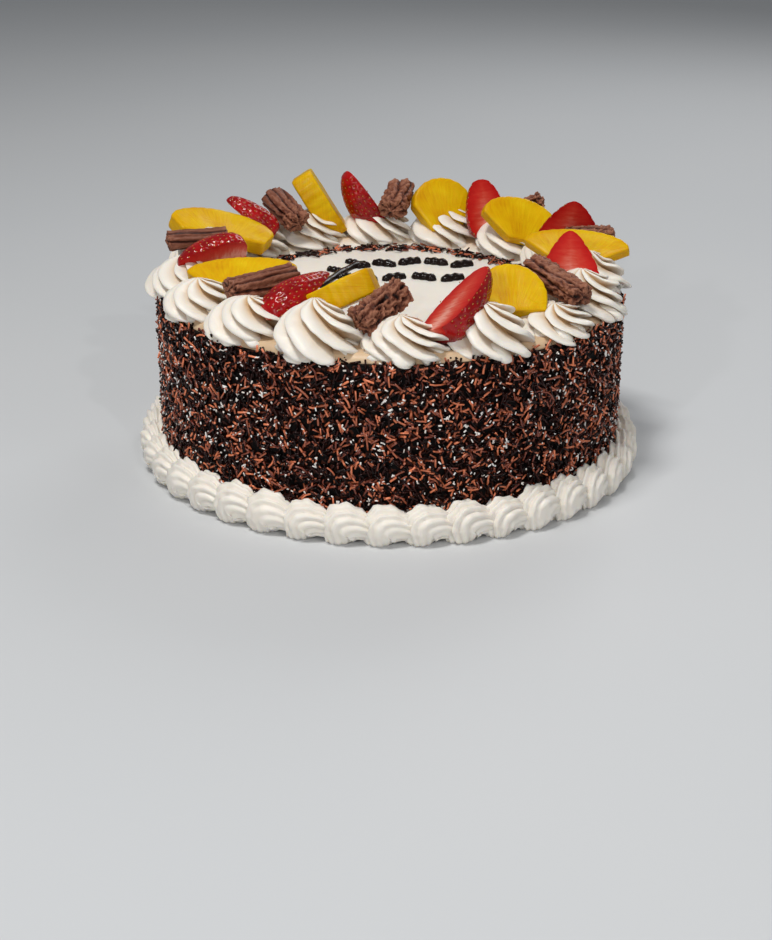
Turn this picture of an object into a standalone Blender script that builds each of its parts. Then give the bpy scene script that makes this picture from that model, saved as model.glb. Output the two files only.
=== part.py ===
"""Cream gateau: a round cake rolled in chocolate sprinkles, with a shell border round its foot,
sixteen piped cream swirls on its rim, and pineapple, strawberry and chocolate pieces set in them.

Metres, +Z up. The cake stands on z = 0 with its axis on the Z axis, and its front is -Y.
Azimuths are in degrees from the front, growing towards +X. Run: blender --background --python part.py
"""
import bpy
import bmesh
import random
from math import atan2, cos, hypot, pi, radians, sin
from mathutils import Matrix, Vector

MM = 0.001
GAP = 0.3 * MM                  # clear space between pieces that touch

# The cake itself
WALL_RADIUS = 123.2 * MM        # bare side, under its coat of sprinkles
TOP_HEIGHT = 89.5 * MM
RIM_ROUND = 2.5 * MM
WALL_SIDES = 56

# Sprinkles, fused to the side and to a thin ring on the top
SPRINKLE_LENGTH = 5.5 * MM
SPRINKLE_RADIUS = 0.8 * MM
SPRINKLE_SIDES = 5
SPRINKLE_LIFT = 0.1 * MM        # how far its centre line stands off the surface
WALL_SPRINKLES = 44
TOP_SPRINKLES = 20
SPRINKLE_LOW = 24 * MM          # they start above the border
SPRINKLE_HIGH = 85 * MM
TOP_RING_RADIUS = 81 * MM
GOLDEN_TURN = radians(137.508)

# Shell border round the foot
SHELLS = 40
SHELL_FIRST = 2.5               # azimuth where the first shell begins, degrees
SHELL_SECTIONS = 4              # sections along each shell
BORDER_INNER = 123.9 * MM
SHELL_CENTRE_RADIUS = 128.0 * MM
SHELL_CENTRE_HEIGHT = 8.6 * MM
SHELL_REACH = 9.6 * MM          # from the section's centre outwards
SHELL_RISE = 12.6 * MM          # from the section's centre upwards
SHELL_PINCH = 0.34              # how much narrower the border is between two shells
SHELL_RIDGE_DEPTH = 0.17
# Height of a ridge at three steps across it: groove, crest, shoulder
SHELL_RIDGE = (0.0, 1.0, 0.55)
SECTION_ANGLES = (-55, -20, 16, 52, 86, 118)     # round the section's centre, 0 facing out
SHELL_FOOT = 0.55               # half width of the flat foot, as a share of the reach

# Piped swirls round the rim
SWIRLS = 16
SWIRL_FIRST = 4.0               # azimuth of the first, degrees
SWIRL_RING = 106.5 * MM
SWIRL_RADIUS = 21.2 * MM
SWIRL_RIDGES = 8
SWIRL_TWIST = radians(-155)
SWIRL_HEIGHTS = [27, 24, 25, 27, 24, 26, 23, 25, 27, 24, 26, 24, 27, 25, 24, 26]
# Outline of a swirl: share of its height, share of its radius
SWIRL_OUTLINE = [(0.0, 0.88), (0.2, 1.0), (0.5, 0.88), (0.8, 0.48), (1.0, 0.10)]
# One ridge of the star nozzle, a leaning crest: share of the ridge's width, share of its depth
RIDGE = [(0.0, 0.0), (0.42, 1.0), (0.74, 0.62)]
RIDGE_DEPTH = 0.24

# Piped ornament on the middle of the top: dabs along two arched garlands and one long stem
DAB_LENGTH = 8.5 * MM
DAB_WIDTH = 4.4 * MM
DAB_RISE = 2.4 * MM
DAB_OUTLINE = ((-0.5, 0.35), (-0.2, 1.0), (0.2, 0.9), (0.5, 0.25))    # share of length, of width
DAB_LEANS = (-30, 38)           # headings that the dabs take in turn, degrees
# Each garland: dabs, x where it starts, x where it ends, y and height of the arch, in mm
GARLANDS = [(6, -14, 34, 47, 5), (7, -26, 34, 17, 4)]
STEM_START = (-38, 2)           # x and y in mm
STEM_REACH = (24, 50)
STEM_BEND = 6
STEM_RADIUS = 1.9 * MM
PIPED_SIDES = 6

# Outline of a strawberry from the stem end to the tip: share of its length, share of its width
STRAWBERRY_OUTLINE = ((0.0, 0.42), (0.10, 0.80), (0.32, 1.0), (0.60, 0.80), (0.85, 0.44), (1.0, 0.12))
STRAWBERRY_STEPS = 6            # facets round the skin
# Section of a bar, as shares of half its width and half its thickness
BAR_SECTION = ((1.0, 0.25), (0.72, 0.9), (0.1, 1.0), (-0.6, 0.86), (-1.0, 0.3), (-0.92, -0.5),
               (-0.35, -0.9), (0.35, -1.0), (0.9, -0.62))
BAR_STATIONS = (0.0, 0.28, 0.62, 1.0)
RIM_STEPS = 8                   # facets round a slice's rim
SLICE_SOFTENING = 0.6 * MM      # how far a slice's edges draw in

# Colour, roughness and metallic value of each material
CREAM = ((0.88, 0.83, 0.74), 0.45, 0.0)
CHOCOLATE = ((0.075, 0.035, 0.025), 0.4, 0.0)
MILK_CHOCOLATE = ((0.17, 0.08, 0.055), 0.6, 0.0)
PINEAPPLE = ((0.82, 0.58, 0.04), 0.35, 0.0)
STRAWBERRY = ((0.60, 0.03, 0.03), 0.3, 0.0)

# Toppings. Each lies from its tail to its head, both given as (azimuth, radius in mm, height in mm),
# and is turned about that line by its roll in degrees. At roll 0 a strawberry's skin, a bar's top
# and a slice's flat face look up.
# Strawberry pieces, stem end to tip: tail, head, roll, width as a share of the length, the degrees
# of skin that the piece keeps round its axis, and its depth as a share of a round berry's
STRAWBERRIES = [
    ((10.5, 110, 103), (30.5, 88.5, 125), -125, 0.66, 180, 1.0),
    ((70, 99, 96), (82, 94.5, 127), 180, 0.82, 180, 0.75),
    ((120, 111, 95), (117, 112, 126), 180, 1.12, 180, 0.50),
    ((145, 101.5, 97), (152, 109.5, 128), 150, 0.76, 180, 0.8),
    ((187, 104, 97), (198.5, 101, 128), 0, 0.72, 160, 1.0),
    ((226, 91.5, 103), (234.5, 114.5, 122), 0, 0.58, 130, 1.0),
    ((269, 77, 109.5), (276, 113, 104), 0, 0.68, 180, 1.0),
    ((331, 64, 115), (326, 108, 101), 0, 0.52, 120, 1.0),
]
# Chocolate bars, end to end: tail, head, roll, width and thickness in mm
BARS = [
    ((352, 106, 105), (3.5, 92, 118), 0, 17, 15),
    ((63, 81, 115), (57, 114, 106), 0, 17, 13),
    ((111, 104, 112), (107, 127, 112), 0, 13, 9),
    ((142.5, 115, 109), (136.3, 124.5, 118), 0, 12, 10),
    ((180, 88, 112), (177, 110, 119), 0, 15, 14),
    ((217, 88, 108), (218, 112, 119), 0, 16, 14),
    ((257, 92, 113), (263, 121, 112), 0, 15, 12),
    ((316, 70, 112), (311, 105, 109), 0, 18, 14),
]
# Pineapple slices, core edge to the middle of the rim: tail, head, roll, width and thickness in
# mm, the core edge's share of the width, and the rounded rim's share of the length
SLICES = [
    ((341, 66, 107), (343, 91, 113), 28, 36, 13, 0.90, 0.25),
    ((40, 93, 98), (49, 78, 116), 0, 36, 14, 0.95, 0.70),
    ((95, 98, 104), (104, 106, 118), 0, 57, 11, 0.30, 0.45),
    ((130, 94, 101), (137.5, 108, 120), 20, 44, 11, 0.30, 0.50),
    ((161, 97, 98), (166, 110, 125), 0, 35, 11, 0.50, 0.50),
    ((201, 120, 111), (205, 98, 112), -58, 41, 13, 0.90, 0.25),
    ((249, 100, 106), (239, 112, 114.5), 15, 58, 11, 0.80, 0.60),
    ((302, 92, 99), (287, 79, 111), -5, 58, 10, 0.30, 0.35),
]


def clear_scene():
    for obj in list(bpy.data.objects):
        bpy.data.objects.remove(obj)


def material(name, colour, roughness, metallic):
    mat = bpy.data.materials.get(name)
    if mat:
        return mat
    mat = bpy.data.materials.new(name)
    mat.use_nodes = True
    shader = mat.node_tree.nodes["Principled BSDF"]
    shader.inputs["Base Color"].default_value = (*colour, 1.0)
    shader.inputs["Roughness"].default_value = roughness
    shader.inputs["Metallic"].default_value = metallic
    return mat


def polar(azimuth, radius, height):
    """A point from its azimuth in degrees and its radius and height."""
    angle = radians(azimuth)
    return Vector((radius * sin(angle), -radius * cos(angle), height))


def loft(name, loops, finish, closed=False):
    """A closed body through loops of points, capped at both ends, or joined up where closed.

    Each patch is split along the diagonal that slanting ridges follow.
    """
    mesh = bmesh.new()
    rows = [[mesh.verts.new(point) for point in loop] for loop in loops]
    count = len(rows[0])
    pairs = list(zip(rows, rows[1:]))
    if closed:
        pairs.append((rows[-1], rows[0]))
    for low, high in pairs:
        for i in range(count):
            j = (i + 1) % count
            mesh.faces.new((low[i], low[j], high[i]))
            mesh.faces.new((low[j], high[j], high[i]))
    if not closed:
        mesh.faces.new(list(reversed(rows[0])))
        mesh.faces.new(rows[-1])
    bmesh.ops.recalc_face_normals(mesh, faces=mesh.faces)
    data = bpy.data.meshes.new(name)
    mesh.to_mesh(data)
    mesh.free()
    obj = bpy.data.objects.new(name, data)
    bpy.context.scene.collection.objects.link(obj)
    obj.data.materials.append(material(*finish))
    obj.data.set_sharp_from_angle(angle=radians(40))
    return obj


def bake_modifiers(obj):
    """Replaces the object's mesh by the one that its modifiers give."""
    graph = bpy.context.evaluated_depsgraph_get()
    mesh = bpy.data.meshes.new_from_object(obj.evaluated_get(graph))
    obj.modifiers.clear()
    obj.data = mesh


def fuse(target, extras):
    """One union of the target with all the extras, which are then removed."""
    group = bpy.data.collections.new(target.name + "_extras")
    bpy.context.scene.collection.children.link(group)
    for extra in extras:
        group.objects.link(extra)
    union = target.modifiers.new("union", "BOOLEAN")
    union.operation = "UNION"
    union.operand_type = "COLLECTION"
    union.collection = group
    bake_modifiers(target)
    for extra in extras:
        bpy.data.objects.remove(extra)
    bpy.data.collections.remove(group)
    keep_largest_body(target)


def keep_largest_body(obj):
    """Drops the loose scraps that a cut leaves, and fills the hollows that a union seals."""
    mesh = bmesh.new()
    mesh.from_mesh(obj.data)
    unseen = set(mesh.verts)
    bodies = []
    while unseen:
        start = unseen.pop()
        body = [start]
        for vert in body:
            for edge in vert.link_edges:
                other = edge.other_vert(vert)
                if other in unseen:
                    unseen.discard(other)
                    body.append(other)
        bodies.append(body)
    bodies.sort(key=len)
    scraps = [vert for body in bodies[:-1] for vert in body]
    bmesh.ops.delete(mesh, geom=scraps, context="VERTS")
    mesh.to_mesh(obj.data)
    mesh.free()


def circle(radius, height, sides):
    return [Vector((radius * cos(2 * pi * i / sides), radius * sin(2 * pi * i / sides), height))
            for i in range(sides)]


def sprinkle(name, centre, along, up):
    """A thin rod lying along one direction, flat on the surface whose normal is up."""
    along = along.normalized()
    side = up.cross(along).normalized()
    ends = []
    turns = [2 * pi * i / SPRINKLE_SIDES for i in range(SPRINKLE_SIDES)]
    for step in (-0.5, 0.5):
        middle = centre + along * step * SPRINKLE_LENGTH
        ends.append([middle + SPRINKLE_RADIUS * (side * cos(turn) + up * sin(turn)) for turn in turns])
    return loft(name, ends, ("chocolate", *CHOCOLATE))


def ring_round(middle, side, half_width, rise):
    """Six points round a piped line, on the plane across it."""
    turns = [2 * pi * i / PIPED_SIDES for i in range(PIPED_SIDES)]
    return [middle + side * half_width * cos(turn) + Vector((0, 0, rise * sin(turn))) for turn in turns]


def dab(name, centre, heading):
    """A low, pointed dab of piped chocolate, half sunk in the cream."""
    along = Vector((cos(heading), sin(heading), 0))
    side = Vector((-sin(heading), cos(heading), 0))
    loops = [ring_round(centre + along * step * DAB_LENGTH, side, share * DAB_WIDTH / 2, share * DAB_RISE)
             for step, share in DAB_OUTLINE]
    return loft(name, loops, ("chocolate", *CHOCOLATE))


def stem(name, points):
    """A piped line through points on the top."""
    loops = []
    for i, point in enumerate(points):
        ahead = points[min(i + 1, len(points) - 1)] - points[max(i - 1, 0)]
        side = Vector((-ahead.y, ahead.x, 0)).normalized()
        loops.append(ring_round(point, side, STEM_RADIUS, STEM_RADIUS))
    return loft(name, loops, ("chocolate", *CHOCOLATE))


def ornament():
    """Two arched garlands of dabs across the middle of the top, and a long curved stem."""
    pieces = []
    for row, (count, start_x, end_x, base_y, arch) in enumerate(GARLANDS):
        for i in range(count):
            share = i / (count - 1)
            x = start_x + (end_x - start_x) * share
            y = base_y + arch * sin(pi * share)
            heading = radians(DAB_LEANS[i % 2])
            pieces.append(dab(f"dab_{row}_{i}", Vector((x * MM, y * MM, TOP_HEIGHT)), heading))
    bend = []
    for t in (0, 0.2, 0.4, 0.6, 0.8, 1.0):
        x = STEM_START[0] + STEM_REACH[0] * t
        y = STEM_START[1] + STEM_REACH[1] * t + STEM_BEND * sin(pi * t)
        bend.append(Vector((x * MM, y * MM, TOP_HEIGHT)))
    pieces.append(stem("stem", bend))
    return pieces


def make_cake():
    """The round body with its sprinkles and the piped ornament, one solid."""
    rim = [(WALL_RADIUS - RIM_ROUND * (1 - cos(radians(a))), TOP_HEIGHT - RIM_ROUND * (1 - sin(radians(a))))
           for a in (0, 45, 90)]
    loops = [circle(WALL_RADIUS, 0, WALL_SIDES)]
    loops += [circle(radius, height, WALL_SIDES) for radius, height in rim]
    cake = loft("cake", loops, ("chocolate", *CHOCOLATE))
    rng = random.Random(7)
    bits = []
    for i in range(WALL_SPRINKLES):
        angle = i * GOLDEN_TURN
        height = SPRINKLE_LOW + (i + 0.5) / WALL_SPRINKLES * (SPRINKLE_HIGH - SPRINKLE_LOW)
        out = Vector((cos(angle), sin(angle), 0))
        across = Vector((-sin(angle), cos(angle), 0))
        lean = rng.uniform(0, pi)
        along = across * cos(lean) + Vector((0, 0, sin(lean)))
        centre = out * (WALL_RADIUS + SPRINKLE_LIFT) + Vector((0, 0, height))
        bits.append(sprinkle(f"side_{i}", centre, along, out))
    for i in range(TOP_SPRINKLES):
        angle = 2 * pi * (i + 0.5) / TOP_SPRINKLES
        radius = TOP_RING_RADIUS + rng.uniform(-1.5, 1.5) * MM
        lean = rng.uniform(0, pi)
        centre = Vector((radius * cos(angle), radius * sin(angle), TOP_HEIGHT + SPRINKLE_LIFT))
        bits.append(sprinkle(f"top_{i}", centre, Vector((cos(lean), sin(lean), 0)), Vector((0, 0, 1))))
    fuse(cake, bits + ornament())
    return cake


def border_section(step):
    """One section of the border: flat foot, plain back, and an outer side crossed by slanting ridges.

    Opposite shells share their size, which keeps the middle of the border on the cake's axis.
    """
    shell, place = divmod(step, SHELL_SECTIONS)
    rng = random.Random(100 + shell % (SHELLS // 2))
    size = rng.uniform(0.94, 1.05)
    share = place / SHELL_SECTIONS
    swell = size * (1 - SHELL_PINCH * (1 - sin(pi * share) ** 0.6))
    azimuth = radians(SHELL_FIRST + 360 / SHELLS * (shell + share))
    profile = [(BORDER_INNER, 0), (SHELL_CENTRE_RADIUS + SHELL_FOOT * SHELL_REACH * swell, 0)]
    for k, degrees in enumerate(SECTION_ANGLES):
        ridge = swell * (1 - SHELL_RIDGE_DEPTH * (1 - SHELL_RIDGE[(k + place) % 3]))
        radius = SHELL_CENTRE_RADIUS + SHELL_REACH * ridge * cos(radians(degrees))
        height = SHELL_CENTRE_HEIGHT + SHELL_RISE * ridge * sin(radians(degrees))
        profile.append((max(radius, BORDER_INNER), max(height, 0.8 * MM * (k + 1))))
    profile.append((BORDER_INNER, SHELL_CENTRE_HEIGHT + 0.5 * SHELL_RISE * swell))
    return [Vector((radius * sin(azimuth), -radius * cos(azimuth), height)) for radius, height in profile]


def make_border():
    """The shell border: ridged shells piped one into the next against the foot of the wall."""
    loops = [border_section(step) for step in range(SHELLS * SHELL_SECTIONS)]
    return loft("base_border", loops, ("cream", *CREAM), closed=True)


def hold_in_sector(point, azimuth):
    """Moves a point back to its swirl's own sector of the ring, so that neighbours stay clear."""
    half = radians(360 / SWIRLS / 2)
    centre = radians(azimuth)
    angle = atan2(point.x, -point.y) - centre
    angle = (angle + pi) % (2 * pi) - pi
    radius = hypot(point.x, point.y)
    limit = half - GAP / 2 / radius
    if abs(angle) <= limit:
        return point
    angle = centre + max(-limit, min(limit, angle))
    return Vector((radius * sin(angle), -radius * cos(angle), point.z))


def make_swirl(index):
    """A drop of cream from a star nozzle, turned as it was piped and pulled up to a peak."""
    azimuth = SWIRL_FIRST + 360 / SWIRLS * index
    rng = random.Random(200 + index)
    height = SWIRL_HEIGHTS[index] * MM
    start = rng.uniform(0, 2 * pi)
    centre = polar(azimuth, SWIRL_RING, TOP_HEIGHT + GAP)
    peak_shift = Vector((rng.uniform(-2, 2), rng.uniform(-2, 2), 0)) * MM
    loops = []
    for level, share in SWIRL_OUTLINE:
        loop = []
        for ridge in range(SWIRL_RIDGES):
            for place, crest in RIDGE:
                theta = start + 2 * pi * (ridge + place) / SWIRL_RIDGES + SWIRL_TWIST * level
                reach = SWIRL_RADIUS * share * (1 - RIDGE_DEPTH * (1 - crest))
                point = centre + peak_shift * level * level + Vector((0, 0, level * height))
                point += Vector((reach * cos(theta), reach * sin(theta), 0))
                loop.append(hold_in_sector(point, azimuth))
        loops.append(loop)
    return loft(f"swirl_{index + 1:02d}", loops, ("cream", *CREAM))


def laid(tail, head, roll):
    """The matrix that lays a piece from tail to head: X along it, Z up, then rolled about X."""
    along = (head - tail).normalized()
    side = Vector((0, 0, 1)).cross(along).normalized()
    up = along.cross(side)
    turn = Matrix((along, side, up)).transposed().to_4x4()
    return Matrix.Translation(tail) @ turn @ Matrix.Rotation(radians(roll), 4, "X")


def strawberry_loops(length, width, sweep, depth, grow):
    """A strawberry cut along its axis: its skin spans the sweep, and its cut faces meet inside."""
    loops = []
    half_sweep = radians(sweep) / 2
    for place, share in STRAWBERRY_OUTLINE:
        reach = width / 2 * share + grow
        x = place * length + (grow if place == 1.0 else -grow if place == 0.0 else 0.0)
        loop = [Vector((x, 0, -grow / sin(half_sweep)))]
        for i in range(STRAWBERRY_STEPS + 1):
            theta = -half_sweep + 2 * half_sweep * i / STRAWBERRY_STEPS
            rise = depth * reach * cos(theta) - (grow if i in (0, STRAWBERRY_STEPS) else 0)
            loop.append(Vector((x, reach * sin(theta), rise)))
        loops.append(loop)
    return loops


def bar_loops(length, width, thickness, grow, seed):
    """A crumbly folded chocolate bar: an uneven rounded section that changes along its length."""
    rng = random.Random(seed)
    bumps = [rng.uniform(0.9, 1.06) for _ in BAR_SECTION]
    loops = []
    for place in BAR_STATIONS:
        scale = rng.uniform(0.9, 1.05)
        x = place * length + (grow if place == 1.0 else -grow if place == 0.0 else 0.0)
        loops.append([Vector((x, y * bump * scale * width / 2 + (grow if y > 0 else -grow),
                              z * bump * scale * thickness / 2 + (grow if z > 0 else -grow)))
                      for (y, z), bump in zip(BAR_SECTION, bumps)])
    return loops


def slice_loops(length, width, thickness, core_share, dome, grow):
    """A piece of a pineapple ring: a flat slice from a narrow core edge out to a round rim."""
    shoulder = length * (1 - dome)
    outline = [(-grow, -width / 2 * core_share - grow)]
    for i in range(RIM_STEPS + 1):
        theta = -pi / 2 + pi * i / RIM_STEPS
        outline.append((shoulder + (length * dome + grow) * cos(theta), (width / 2 + grow) * sin(theta)))
    outline.append((-grow, width / 2 * core_share + grow))
    loops = []
    for level in (-1, 0, 1):
        shrink = 1 - abs(level) * SLICE_SOFTENING / length
        loops.append([Vector((x * shrink, y * shrink, level * (thickness / 2 + grow))) for x, y in outline])
    return loops


def topping(name, finish, tail, head, roll, make_loops, grow):
    """One piece laid from tail to head, named and set up as a cutter where it is grown."""
    start = polar(tail[0], tail[1] * MM, tail[2] * MM)
    end = polar(head[0], head[1] * MM, head[2] * MM)
    place = laid(start, end, roll)
    loops = [[place @ point for point in loop] for loop in make_loops((end - start).length)]
    if not grow:
        return loft(name, loops, finish)
    cutter = loft(name + "_seat", loops, finish)
    cutter.hide_render = True
    cutter.display_type = "WIRE"
    return cutter


def make_toppings(grow=0.0):
    """The strawberry, chocolate and pineapple pieces or, grown by the gap, the cutters for their seats."""
    pieces = []

    def add(name, finish, tail, head, roll, make_loops):
        pieces.append(topping(name, finish, tail, head, roll, make_loops, grow))

    for i, (tail, head, roll, width, sweep, depth) in enumerate(STRAWBERRIES, 1):
        add(f"strawberry_{i}", ("strawberry", *STRAWBERRY), tail, head, roll,
            lambda length: strawberry_loops(length, width * length, sweep, depth, grow))
    for i, (tail, head, roll, width, thickness) in enumerate(BARS, 1):
        add(f"choc_bar_{i}", ("milk_chocolate", *MILK_CHOCOLATE), tail, head, roll,
            lambda length: bar_loops(length, width * MM, thickness * MM, grow, 300 + i))
    for i, (tail, head, roll, width, thickness, core_share, dome) in enumerate(SLICES, 1):
        add(f"pineapple_{i}", ("pineapple", *PINEAPPLE), tail, head, roll,
            lambda length: slice_loops(length, width * MM, thickness * MM, core_share, dome, grow))
    return pieces


def reach_of(obj):
    """The lowest and highest corner of an object's mesh."""
    points = [obj.matrix_world @ vert.co for vert in obj.data.vertices]
    return [min(p[k] for p in points) for k in range(3)], [max(p[k] for p in points) for k in range(3)]


def boxes_meet(one, other):
    (low_a, high_a), (low_b, high_b) = reach_of(one), reach_of(other)
    return all(low_a[k] < high_b[k] and low_b[k] < high_a[k] for k in range(3))


def seat_toppings(swirls, cutters):
    """Cuts each topping's seat out of the swirls that it is pressed into."""
    for swirl in swirls:
        for cutter in cutters:
            if not boxes_meet(swirl, cutter):
                continue
            cut = swirl.modifiers.new(cutter.name, "BOOLEAN")
            cut.operation = "DIFFERENCE"
            cut.object = cutter
        bake_modifiers(swirl)
        keep_largest_body(swirl)


def main():
    clear_scene()
    make_cake()
    make_border()
    swirls = [make_swirl(i) for i in range(SWIRLS)]
    make_toppings()
    cutters = make_toppings(grow=GAP)
    seat_toppings(swirls, cutters)
    for cutter in cutters:
        bpy.data.objects.remove(cutter)


main()
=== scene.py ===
# %% [markdown]
# # A cream gateau with fruit and chocolate
#
# This lesson dresses a plain solid model of a round gateau. The real cake is a sponge covered in
# whipped cream: its wall is rolled in chocolate sprinkles, a border of shells is piped round its
# foot, and swirls on the rim hold pieces of pineapple, strawberry and folded chocolate bar.
# The solids are loaded first and never move. Each finer piece is then built where its solid is.

# %% Load the solids
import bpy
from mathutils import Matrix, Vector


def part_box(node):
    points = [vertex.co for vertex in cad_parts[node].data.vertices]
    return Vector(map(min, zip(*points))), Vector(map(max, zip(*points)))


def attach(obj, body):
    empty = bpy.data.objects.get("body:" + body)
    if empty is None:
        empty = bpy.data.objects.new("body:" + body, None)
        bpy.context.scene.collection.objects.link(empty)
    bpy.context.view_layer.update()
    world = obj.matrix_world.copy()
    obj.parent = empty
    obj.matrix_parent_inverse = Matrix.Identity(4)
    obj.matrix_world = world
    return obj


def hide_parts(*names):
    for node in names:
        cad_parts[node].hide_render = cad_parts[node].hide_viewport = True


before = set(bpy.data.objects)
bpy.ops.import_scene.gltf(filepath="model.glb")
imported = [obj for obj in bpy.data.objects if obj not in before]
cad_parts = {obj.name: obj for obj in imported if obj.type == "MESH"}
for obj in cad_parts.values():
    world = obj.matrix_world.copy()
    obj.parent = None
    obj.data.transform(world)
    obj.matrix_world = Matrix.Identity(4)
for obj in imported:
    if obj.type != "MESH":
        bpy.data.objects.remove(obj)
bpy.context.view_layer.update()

# %% Tools and units
import random
import bmesh
import bpy
import numpy as np
from math import ceil, cos, pi, radians, sin
from mathutils import Matrix, Vector, noise

MM = 0.001
BODY = "root"
cake_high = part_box("cake")[1]
border_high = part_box("base_border")[1]
print("cake reaches", round(cake_high.z / MM, 1), "mm up, its border", round(border_high.x / MM, 1), "mm out")

# %% [markdown]
# ## The camera
#
# The photograph looks down on the cake from a little over its rim. A camera is placed by the angle
# of its line of sight above the table and by its distance, and three small turns finish the aim.
# This is easier to correct by eye than a list of coordinates and Euler angles.

# %% Camera
FRAME_WIDTH, FRAME_HEIGHT = 772, 940
FOCAL_PIXELS = 1735
SENSOR = 36
CAMERA_DISTANCE = 966 * MM
CAMERA_ELEVATION = radians(21.85)
CAMERA_PAN = radians(-0.09)
CAMERA_TILT = radians(-0.81)
CAMERA_ROLL = radians(0.61)


def aim_camera():
    """A camera that faces the foot of the cake, then pans, tilts and rolls a little."""
    place = Vector((0, -cos(CAMERA_ELEVATION), sin(CAMERA_ELEVATION))) * CAMERA_DISTANCE
    ahead = -place.normalized()
    right = Vector((1, 0, 0))
    up = right.cross(ahead)
    ahead = ahead * cos(CAMERA_TILT) + up * sin(CAMERA_TILT)
    up = right.cross(ahead)
    ahead = ahead * cos(CAMERA_PAN) + right * sin(CAMERA_PAN)
    right = ahead.cross(up).normalized()
    up = right.cross(ahead)
    turned_right = right * cos(CAMERA_ROLL) + up * sin(CAMERA_ROLL)
    turned_up = up * cos(CAMERA_ROLL) - right * sin(CAMERA_ROLL)
    lens = bpy.data.cameras.new("camera")
    lens.lens = FOCAL_PIXELS * SENSOR / FRAME_HEIGHT
    lens.sensor_width = SENSOR
    lens.clip_start = 10 * MM
    camera = bpy.data.objects.new("camera", lens)
    turn = Matrix((turned_right, turned_up, -ahead)).transposed().to_4x4()
    camera.matrix_world = Matrix.Translation(place) @ turn
    bpy.context.scene.collection.objects.link(camera)
    bpy.context.scene.camera = camera
    return camera


camera = aim_camera()
print("lens:", round(camera.data.lens, 2), "mm")

# %% [markdown]
# ## Light and floor
#
# The main light comes from high above and a little to the left, so that every groove in the cream
# has a shaded side. Weaker lamps on the right and in front open the shadows, one behind gives
# bright edges, and two very small ones in front put sharp glints on sprinkles and fruit. A weak
# pale sky shines all round. The floor is a plain pale sheet whose edge stays far from the cake.

# %% Lamps, sky and floor
def lamp(name, place, power, size, colour=(1, 1, 1)):
    """A square soft lamp that faces the middle of the cake."""
    light = bpy.data.lights.new(name, "AREA")
    light.energy = power
    light.size = size
    light.color = colour
    made = bpy.data.objects.new(name, light)
    made.location = Vector(place)
    target = Vector((0, 0, cake_high.z / 2))
    made.rotation_euler = (target - made.location).to_track_quat("-Z", "Y").to_euler()
    bpy.context.scene.collection.objects.link(made)
    return made


# Name, place in metres, power in watts, side in metres
lamp("key", (-0.3, -0.35, 1.5), 13.5, 0.35, (1.0, 0.985, 0.96))
lamp("fill", (1.1, -0.9, 0.6), 1.6, 0.4)
lamp("back", (0.5, 1.1, 0.9), 4.0, 0.6)
lamp("front", (-0.35, -1.4, 0.42), 1.7, 0.5)
lamp("glint_right", (0.45, -1.2, 0.95), 2.2, 0.04)
lamp("glint_left", (-0.5, -1.25, 0.7), 2.4, 0.04)

SKY_COLOUR = (0.93, 0.96, 1.0)
SKY_STRENGTH = 0.17
FLOOR_HALF = 6.0

bpy.context.scene.view_settings.view_transform = "Standard"
sky = bpy.data.worlds.new("studio")
sky.use_nodes = True
sky.node_tree.nodes["Background"].inputs["Color"].default_value = (*SKY_COLOUR, 1)
sky.node_tree.nodes["Background"].inputs["Strength"].default_value = SKY_STRENGTH
bpy.context.scene.world = sky


def make_floor():
    data = bpy.data.meshes.new("floor")
    corners = [(x * FLOOR_HALF, y * FLOOR_HALF, 0) for x, y in ((-1, -1), (1, -1), (1, 1), (-1, 1))]
    data.from_pydata(corners, [], [(0, 1, 2, 3)])
    floor = bpy.data.objects.new("floor", data)
    bpy.context.scene.collection.objects.link(floor)
    return floor


floor = make_floor()

# %% [markdown]
# ## Sums for shaders
#
# A shader's pattern is a chain of small nodes, and a chain of sums is hard to read as a list of
# links. Here one small class stands for a socket and answers to + - * / and **, so that a pattern
# can be written as a formula. A second class holds one material and adds any other node.

# %% A socket that can be used in formulas
class Wire:
    """An output socket that works with Python's own signs for sums."""

    def __init__(self, finish, socket):
        self.finish = finish
        self.socket = socket

    def __add__(self, other):
        return self.finish.maths("ADD", self, other)

    __radd__ = __add__

    def __mul__(self, other):
        return self.finish.maths("MULTIPLY", self, other)

    __rmul__ = __mul__

    def __sub__(self, other):
        return self.finish.maths("SUBTRACT", self, other)

    def __rsub__(self, other):
        return self.finish.maths("SUBTRACT", other, self)

    def __truediv__(self, other):
        return self.finish.maths("DIVIDE", self, other)

    def __rtruediv__(self, other):
        return self.finish.maths("DIVIDE", other, self)

    def __pow__(self, other):
        return self.finish.maths("POWER", self, other)

    def between(self, low, high):
        """Runs smoothly from 0 where the value is low to 1 where it is high."""
        return self.finish.node("ShaderNodeMapRange", {"interpolation_type": "SMOOTHSTEP"},
                                {"Value": self, "From Min": low, "From Max": high})


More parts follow.
